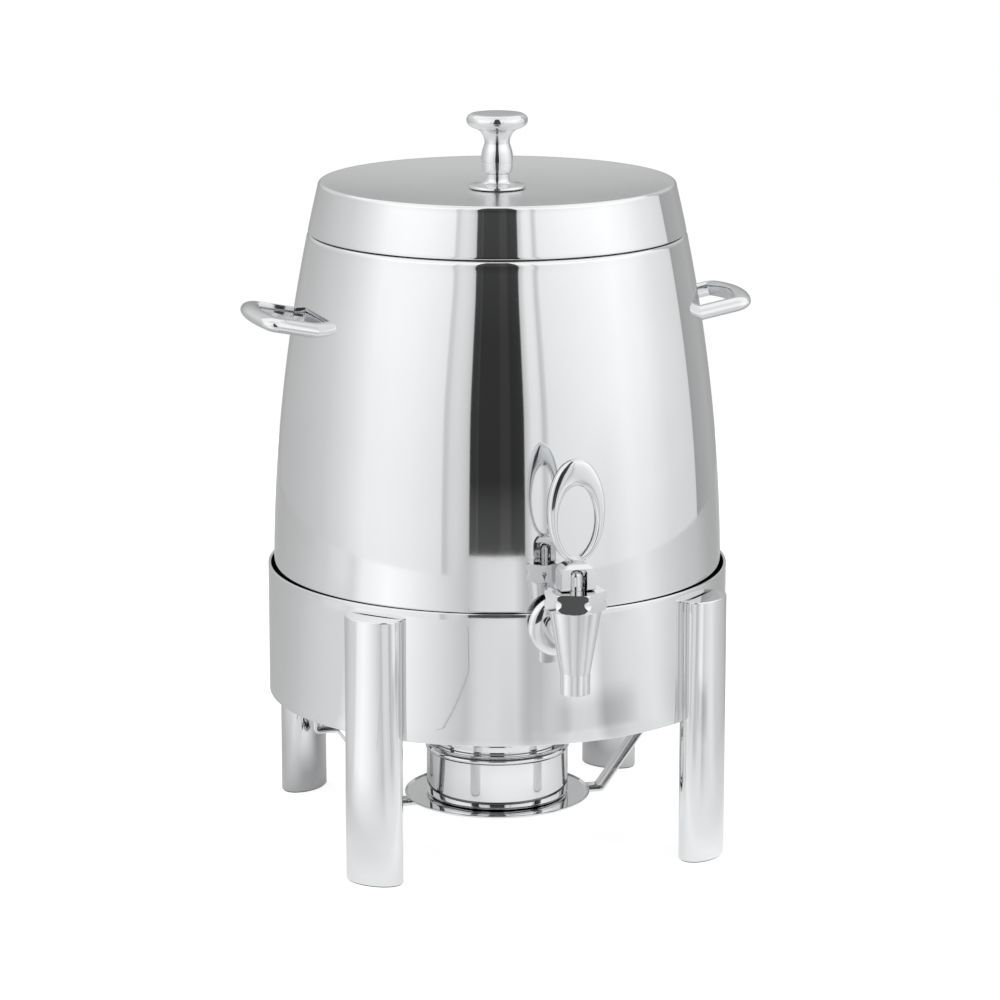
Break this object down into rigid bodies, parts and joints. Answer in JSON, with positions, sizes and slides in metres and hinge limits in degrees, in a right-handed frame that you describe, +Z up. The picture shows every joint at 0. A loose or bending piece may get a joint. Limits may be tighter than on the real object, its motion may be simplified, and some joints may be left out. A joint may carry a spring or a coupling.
{
  "type": "coffee urn",
  "caption": "Mirror-polished steel coffee urn with a lever tap, lift-off lid and two side handles, standing in a collar on four oval legs over a fuel burner.",
  "frame": {"origin": "on the table, under the axis of the urn and its stand", "axes": "+Z up along the urn's axis; the tap faces -Y; +X is to the right of someone looking along +Y, from the tap side"},
  "size_m": [0.3254, 0.351, 0.4595],
  "materials": {
    "polished_steel": "mirror-polished stainless steel",
    "satin_steel": "mill-finish stainless sheet and bar",
    "screw_steel": "plain stainless screws, rivet, pin and spring",
    "silicone": "food-grade silicone",
    "nylon": "black moulded nylon"
  },
  "bodies": {
    "stand": {"collar": "polished_steel", "shelf_ring": "satin_steel", "leg_front_left": "polished_steel", "leg_front_right": "polished_steel", "leg_rear_left": "polished_steel", "leg_rear_right": "polished_steel", "foot_front_left": "nylon", "foot_front_right": "nylon", "foot_rear_left": "nylon", "foot_rear_right": "nylon", "leg_screws": "screw_steel", "burner_strap": "satin_steel", "strap_screws": "screw_steel", "burner_plate": "polished_steel", "burner_rivet": "screw_steel", "fuel_cup": "polished_steel"},
    "cover": {"burner_cover": "polished_steel"},
    "urn": {"urn_shell": "polished_steel", "urn_bottom": "satin_steel", "handle_left": "polished_steel", "handle_right": "polished_steel", "tap_body": "polished_steel", "tap_bonnet": "polished_steel", "valve_spring": "screw_steel", "tap_flange": "polished_steel", "outer_seal": "silicone", "inner_seal": "silicone", "shank_nut": "satin_steel"},
    "valve": {"valve_stem": "polished_steel", "seat_seal": "silicone"},
    "lever": {"tap_lever": "polished_steel", "lever_pin": "screw_steel"},
    "lid": {"lid_shell": "polished_steel", "lid_ring": "satin_steel", "knob": "polished_steel", "knob_screw": "screw_steel"}
  },
  "joints": [
    {"name": "urn_lift", "type": "slide", "parent": "stand", "child": "urn", "axis": [0, 0, 1], "range_m": [0, 0.16]},
    {"name": "cover_lift", "type": "slide", "parent": "stand", "child": "cover", "axis": [0, 0, 1], "range_m": [0, 0.03]},
    {"name": "lid_lift", "type": "slide", "parent": "urn", "child": "lid", "axis": [0, 0, 1], "range_m": [0, 0.12]},
    {"name": "stem_lift", "type": "slide", "parent": "urn", "child": "valve", "axis": [0, 0, 1], "range_m": [0, 0.0028], "deforming": ["valve_spring"]},
    {"name": "lever_pull", "type": "hinge", "parent": "valve", "child": "lever", "pos_m": [0, -0.186, 0.2047], "axis": [1, 0, 0], "range_deg": [0, 35], "stiffness_Nm_per_rad": 0.02, "springref_deg": -20.05}
  ],
  "couplings": [
    {"joint": "stem_lift", "follows": "lever_pull", "m_per_rad": 0.0045}
  ]
}
